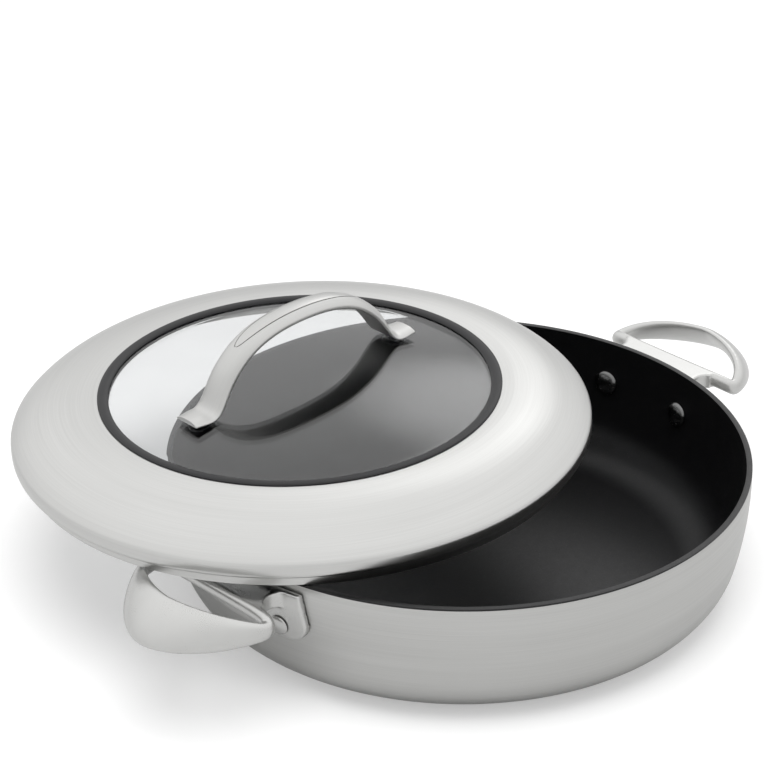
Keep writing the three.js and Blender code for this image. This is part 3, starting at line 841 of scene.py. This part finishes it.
def lid_gasket():
    """Seal with a rounded crest and a groove each for the dome's edge and for the glass."""
    bottom = GLASS_BOTTOM - SEAT_GAP - GASKET_FOOT
    crest = (GASKET_WEB_INNER + GASKET_WEB_OUTER) / 2
    outer, inner = WINDOW_RADIUS + GASKET_LIP, GLASS_RADIUS - GASKET_INNER_LIP
    crown = interpolate_bezier(
        spot(outer, DOME_TOP + SEAT_GAP),
        spot(crest + GASKET_LIP, SEAL_TOP),
        spot(crest - GASKET_INNER_LIP, SEAL_TOP),
        spot(inner, GLASS_TOP + SEAT_GAP),
        GASKET_CROWN_POINTS,
    )
    outline = [
        spot(inner, bottom),
        spot(outer, bottom),
        spot(outer, DOME_TOP - LID_SHEET - SEAT_GAP),
        spot(GASKET_WEB_OUTER, DOME_TOP - LID_SHEET - SEAT_GAP),
        spot(GASKET_WEB_OUTER, DOME_TOP + SEAT_GAP),
        *crown,
        spot(GASKET_WEB_INNER, GLASS_TOP + SEAT_GAP),
        spot(GASKET_WEB_INNER, GLASS_BOTTOM - SEAT_GAP),
        spot(inner, GLASS_BOTTOM - SEAT_GAP),
    ]
    piece = turned("window_seal", ringed(outline), LARGE_STEPS)
    round_edges(piece, GASKET_EDGE, segments=2, angle=50)
    lid_piece(piece, "lid_gasket", SILICONE)


def glass_rise(radius):
    """Rise of the domed window over its flat edge."""
    share = min(radius / (GLASS_RADIUS - GLASS_FLAT), 1)
    return GLASS_SAG * (1 - share * share)


def lid_glass():
    """Domed window with two screw holes."""
    dome_radius = GLASS_RADIUS - GLASS_FLAT
    radii = [dome_radius * i / GLASS_RINGS for i in range(GLASS_RINGS + 1)] + [GLASS_RADIUS]
    lower = [spot(radius, GLASS_BOTTOM + glass_rise(radius)) for radius in radii]
    upper = [spot(radius, GLASS_TOP + glass_rise(radius)) for radius in radii]
    piece = turned("window", lower + upper[::-1], LARGE_STEPS)
    round_edges(piece, GLASS_EDGE)
    hole = SCREW_RADIUS + 2 * SEAT_GAP
    for side in (-1, 1):
        deselect()
        bpy.ops.mesh.primitive_cylinder_add(
            vertices=SMALL_STEPS, radius=hole * MM, depth=6 * GLASS_THICKNESS * MM,
            location=spot(side * SCREW_OFFSET, GLASS_TOP) * MM)
        cut(piece, bpy.context.object)
    lid_piece(piece, "lid_glass", GLASS, smooth_angle=12)


# Lid handle

def arch_half():
    """Underside of half the strap, from the middle of the arch to the end of the foot."""
    flat = SCREW_OFFSET - SCREW_RADIUS / 2
    crown = FOOT_BOTTOM + ARCH_HEIGHT
    shoulder = FOOT_BOTTOM + ARCH_SHOULDER_HEIGHT
    leg = spot(ARCH_LEG_PULL * ARCH_SHOULDER, (ARCH_SHOULDER_HEIGHT - ARCH_HEIGHT) / 2)
    bend = FOOT_BEND_PULL * (flat - ARCH_SHOULDER)
    turn = spot(ARCH_SHOULDER, shoulder)
    landing = spot(flat, FOOT_BOTTOM)
    crown_pull = spot(ARCH_CROWN_PULL * ARCH_SHOULDER, crown)
    leg_pull = turn + leg * (bend / leg.x)
    end = spot(SCREW_OFFSET + FOOT_REACH, FOOT_BOTTOM)
    arch = interpolate_bezier(spot(0, crown), crown_pull, turn - leg, turn, ARCH_STEPS + 1)
    foot_bend = interpolate_bezier(turn, leg_pull, landing - spot(bend, 0), landing, ARCH_STEPS + 1)
    foot = [landing.lerp(end, (i + 1) / FOOT_STEPS) for i in range(FOOT_STEPS)]
    return [*arch, *foot_bend[1:], *foot]


def smooth_step(value, low, high):
    share = min(max((value - low) / (high - low), 0), 1)
    return share * share * (3 - 2 * share)


def strap_half_width(distance):
    """Half the strap's width at a distance from its middle. It flares to the foot, which tapers."""
    flare = smooth_step(distance, ARCH_SHOULDER, SCREW_OFFSET)
    end = smooth_step(distance, SCREW_OFFSET, SCREW_OFFSET + FOOT_REACH)
    width = STRAP_HALF_WIDTH + (FOOT_HALF_WIDTH - STRAP_HALF_WIDTH) * flare
    return width * (1 - FOOT_TAPER * end)


def arch_line():
    half = arch_half()
    return [spot(-point.x, point.z) for point in half[:0:-1]] + half


def pitch_at(line, i):
    """Climb of a line at one of its points, as an angle."""
    along = line[min(i + 1, len(line) - 1)] - line[max(i - 1, 0)]
    return math.atan2(along.z, along.x)


def swept(name, line, section, widths, heights):
    """Extrudes a section along a line, turning it with the line and setting its size at each point."""
    outline = [line[0] + Vector((0, across * widths[0], up * heights[0])) for across, up in section]
    piece = draw(name, ringed(outline))
    bpy.ops.mesh.edge_face_add()
    pitch = 0
    for i in range(len(line)):
        here = line[i] * MM
        if i > 0:
            step = {"value": here - line[i - 1] * MM}
            growth = (1, widths[i] / widths[i - 1], heights[i] / heights[i - 1])
            bpy.ops.mesh.extrude_region_move(TRANSFORM_OT_translate=step)
            bpy.ops.transform.rotate(value=-pitch, orient_axis="Y", center_override=here)
            bpy.ops.transform.resize(value=growth, center_override=here)
        pitch = pitch_at(line, i)
        bpy.ops.transform.rotate(value=pitch, orient_axis="Y", center_override=here)
    close_up()
    return piece


def strap_section():
    """Flat section with a high crown, as pairs of shares of the half width and of the thickness."""
    shares = [1 - i / CROWN_STEPS for i in range(2 * CROWN_STEPS + 1)]
    top = [(share, 1 - STRAP_CROWN * abs(share) ** STRAP_CROWN_POWER) for share in shares]
    return [(-1, 0), (1, 0), *top]


def strap_thickness(distance):
    """Thickness of the strap at a distance from its middle. It thins to the foot."""
    thinning = smooth_step(distance, ARCH_SHOULDER, SCREW_OFFSET)
    return STRAP_THICKNESS + (FOOT_THICKNESS - STRAP_THICKNESS) * thinning


def point_at(line, x):
    """Point of a line at a distance along X."""
    after = next(i for i, point in enumerate(line) if point.x >= x)
    low, high = line[after - 1], line[after]
    return low.lerp(high, (x - low.x) / (high.x - low.x))


def panel_block(name, line, inset, low, high):
    """Block over the panel, inset from its outline, between two shares of the strap's thickness."""
    length = PANEL_HALF_LENGTH - inset
    width = PANEL_HALF_WIDTH - inset
    shares = [PANEL_END * (2 * i / PANEL_STEPS - 1) for i in range(PANEL_STEPS + 1)]
    crown = [point_at(line, share * length) for share in shares]
    widths = [width * math.sqrt(1 - share ** 4) for share in shares]
    section = [(-1, low), (1, low), (1, high), (-1, high)]
    return swept(name, crown, section, widths, [STRAP_THICKNESS] * len(crown))


def lid_handle():
    """Strap swept along the arch, with a narrow groove round a bare long panel on its crown."""
    line = arch_line()
    distances = [abs(point.x) for point in line]
    widths = [strap_half_width(distance) for distance in distances]
    heights = [strap_thickness(distance) for distance in distances]
    piece = swept("lid_strap", line, strap_section(), widths, heights)
    round_edges(piece, STRAP_EDGE, segments=4, angle=40)
    low, high = GROOVE_TOOL_LOW, GROOVE_TOOL_HIGH
    groove = panel_block("panel_groove", line, 0, low, high)
    middle_low, middle_high = low - GROOVE_TOOL_MARGIN, high + GROOVE_TOOL_MARGIN
    cut(groove, panel_block("panel_middle", line, PANEL_GROOVE, middle_low, middle_high))
    groove_floor = copy_of(piece, "groove_floor")
    settle(groove_floor, Matrix.Translation(spot(0, -PANEL_GROOVE) * MM))
    cut(groove, groove_floor)
    cut(piece, groove)
    lid_piece(piece, "lid_handle", STRAP_STEEL)


def collar(name, radius, bottom, height):
    """A round washer, pad or ferrule on a screw."""
    bore = SCREW_RADIUS + SEAT_GAP
    top = bottom + height
    outline = [spot(bore, bottom), spot(radius, bottom), spot(radius, top), spot(bore, top)]
    piece = turned(name, ringed(outline), SMALL_STEPS)
    round_edges(piece, COLLAR_EDGE)
    return piece


def lid_screw(name, head):
    """Round-headed screw with a plain slot, from under the window up into the foot."""
    top = FOOT_BOTTOM + SCREW_GRIP
    outline = dome(SCREW_HEAD_RADIUS, head, -SCREW_HEAD_HEIGHT)[::-1]
    outline += [spot(SCREW_RADIUS, head), spot(SCREW_RADIUS, top), spot(0, top)]
    piece = turned(name, outline, SMALL_STEPS)
    deselect()
    bpy.ops.mesh.primitive_cube_add(size=MM, location=spot(0, head - SCREW_HEAD_HEIGHT) * MM)
    slot = bpy.context.object
    slot.scale = (SCREW_SLOT_WIDTH, 4 * SCREW_HEAD_RADIUS, SCREW_HEAD_HEIGHT)
    cut(piece, slot)
    return piece


def fastenings():
    """Ferrules and screws stand upright, and soft pads and washers lie on the slope of the window."""
    rise = glass_rise(SCREW_OFFSET)
    slope = math.atan(glass_rise(SCREW_OFFSET - 0.5) - glass_rise(SCREW_OFFSET + 0.5))
    washer_top = GLASS_BOTTOM + rise - PAD_GAP
    for end, side in (("right", 1), ("left", -1)):
        upright = Matrix.Translation(spot(side * SCREW_OFFSET, 0) * MM)
        on_window = upright @ Matrix.Translation(spot(0, GLASS_TOP + rise) * MM)
        on_window = on_window @ Matrix.Rotation(side * slope, 4, "Y")
        pad = collar(f"pad_{end}", PAD_RADIUS, PAD_GAP, PAD_THICKNESS)
        lid_piece(pad, f"foot_pad_{end}", SILICONE, on_window)
        washer_bottom = -GLASS_THICKNESS - PAD_GAP - WASHER_THICKNESS
        washer = collar(f"washer_{end}", WASHER_RADIUS, washer_bottom, WASHER_THICKNESS)
        lid_piece(washer, f"screw_washer_{end}", SILICONE, on_window)
        ferrule_bottom = FOOT_BOTTOM - PAD_GAP - FERRULE_HEIGHT
        ferrule = collar(f"ferrule_{end}", FERRULE_RADIUS, ferrule_bottom, FERRULE_HEIGHT)
        lid_piece(ferrule, f"foot_ferrule_{end}", BRIGHT_STEEL, upright)
        screw = lid_screw(f"screw_{end}", washer_top - WASHER_THICKNESS - PAD_GAP)
        lid_piece(screw, f"lid_screw_{end}", BRIGHT_STEEL, upright)


# Studio

FLOOR_SIZE = 24  # metres
FLOOR_DROP = 0.0001  # metres below the base, which would else flicker with it
FLOOR_GREY = 0.7
FLOOR_GLOW = 0.6
CAMERA_GLOW = 0.57  # shares of the glow that each kind of ray sees
GLOSSY_GLOW = 0.12
GLASS_GLOW = 0.5
LAMP_PLACE = (-0.5, -0.35, 2.8)  # metres
LAMP_SIZE = 2.3  # metres
LAMP_POWER = 50  # watts
WORLD_LEVEL = 0.98
SKY_GAIN = 0.3
HORIZON_LOSS = 0.3
WINDOW_GAIN = 1.15
FALLING_SHARE = 0.62  # of the world's strength, for light that falls on things


def way_to(turn, height):
    """Direction at a turn from +X and a height above the horizon, in degrees."""
    level = math.cos(math.radians(height))
    flat = math.radians(turn)
    return Vector((level * math.cos(flat), level * math.sin(flat), math.sin(math.radians(height))))


SKY_WAY = way_to(45, 68)
HORIZON_WAY = way_to(45, 4)
WINDOW_WAY = way_to(32, 32)
CAMERA_PLACE = Vector((-0.9608, -0.9269, 0.8367))
CAMERA_PITCH = 61.52  # degrees from straight down
CAMERA_TURN = -44.4
CAMERA_LENS = 129.07


def rays(finish):
    """For rays of the camera, of reflections and of glass, 1 each where the ray is of that kind."""
    path = finish.node("ShaderNodeLightPath")
    return [Value(finish, path.outputs[name])
            for name in ("Is Camera Ray", "Is Glossy Ray", "Is Transmission Ray")]


def seen_directly(finish):
    """1 for rays of the camera, of reflections and of glass, and 0 for light that falls on things."""
    camera, glossy, through = rays(finish)
    return finish.spread(camera + glossy + through, 0, 1)


def studio_floor():
    deselect()
    bpy.ops.mesh.primitive_plane_add(size=FLOOR_SIZE, location=(0, 0, -FLOOR_DROP))
    floor = bpy.context.object
    floor.name = "studio_floor"
    grey = (FLOOR_GREY, FLOOR_GREY, FLOOR_GREY, 1)
    finish = Finish(
        "pale_floor", Base_Color=grey, Roughness=1.0, Specular_IOR_Level=0.0, Emission_Strength=1.0)
    camera, glossy, through = rays(finish)
    share = camera * CAMERA_GLOW + glossy * GLOSSY_GLOW + through * GLASS_GLOW
    glow = (FLOOR_GLOW, FLOOR_GLOW, FLOOR_GLOW)
    finish.set("Emission Color", finish.blend(finish.spread(share, 0, 1), (0, 0, 0), glow))
    floor.data.materials.append(finish.material)


class Surroundings(Finish):
    """World nodes, added in the same way as a material's."""

    def __init__(self, world):
        world.use_nodes = True
        self.tree = world.node_tree
        self.tree.nodes.clear()
        self.output = self.node("ShaderNodeOutputWorld")
        self.shader = self.node("ShaderNodeBackground")
        self.link(self.shader.outputs[0], self.output.inputs["Surface"])

    def toward(self, way, outer, inner):
        """1 within an inner angle of a way, and softly down to 0 at an outer one, in degrees."""
        direction = self.node("ShaderNodeTexCoord").outputs["Generated"]
        values = {0: direction, 1: way}
        dot = self.node("ShaderNodeVectorMath", {"operation": "DOT_PRODUCT"}, values).outputs["Value"]
        start, end = math.cos(math.radians(outer)), math.cos(math.radians(inner))
        edges = {"Value": dot, "From Min": start, "From Max": end}
        soft = self.node("ShaderNodeMapRange", {"interpolation_type": "SMOOTHSTEP"}, edges)
        return Value(self, soft.outputs[0])


def studio_world():
    world = bpy.data.worlds.new("studio")
    bpy.context.scene.world = world
    around = Surroundings(world)
    seen = seen_directly(around)
    sky = around.toward(SKY_WAY, 85, 35)
    horizon = around.toward(HORIZON_WAY, 34, 8)
    window = around.toward(WINDOW_WAY, 14, 1)
    around.set("Color", (1, 1, 1, 1))
    strength = WORLD_LEVEL + sky * SKY_GAIN - horizon * HORIZON_LOSS + window * WINDOW_GAIN
    around.set("Strength", strength * (FALLING_SHARE + seen * (1 - FALLING_SHARE)))


def soft_lamp(name, place, target, size, power):
    lamp = bpy.data.objects.new(name, bpy.data.lights.new(name, "AREA"))
    lamp.data.shape = "DISK"
    lamp.data.size = size
    lamp.data.energy = power
    lamp.visible_glossy = False
    lamp.visible_transmission = False
    lamp.location = place
    lamp.rotation_euler = (Vector(target) - Vector(place)).to_track_quat("-Z", "Y").to_euler()
    bpy.context.scene.collection.objects.link(lamp)


def studio_camera():
    camera = bpy.data.objects.new("camera", bpy.data.cameras.new("camera"))
    camera.location = CAMERA_PLACE
    camera.rotation_euler = (math.radians(CAMERA_PITCH), 0, math.radians(CAMERA_TURN))
    camera.data.lens = CAMERA_LENS
    bpy.context.scene.collection.objects.link(camera)
    bpy.context.scene.camera = camera


pan_shell()
pan_lining()
rivets()
side_handles()
lid_ring()
lid_gasket()
lid_glass()
lid_handle()
fastenings()
studio_floor()
studio_world()
soft_lamp("overhead", LAMP_PLACE, (0, 0, 0), LAMP_SIZE, LAMP_POWER)
studio_camera()
bpy.context.scene.view_settings.view_transform = "Standard"
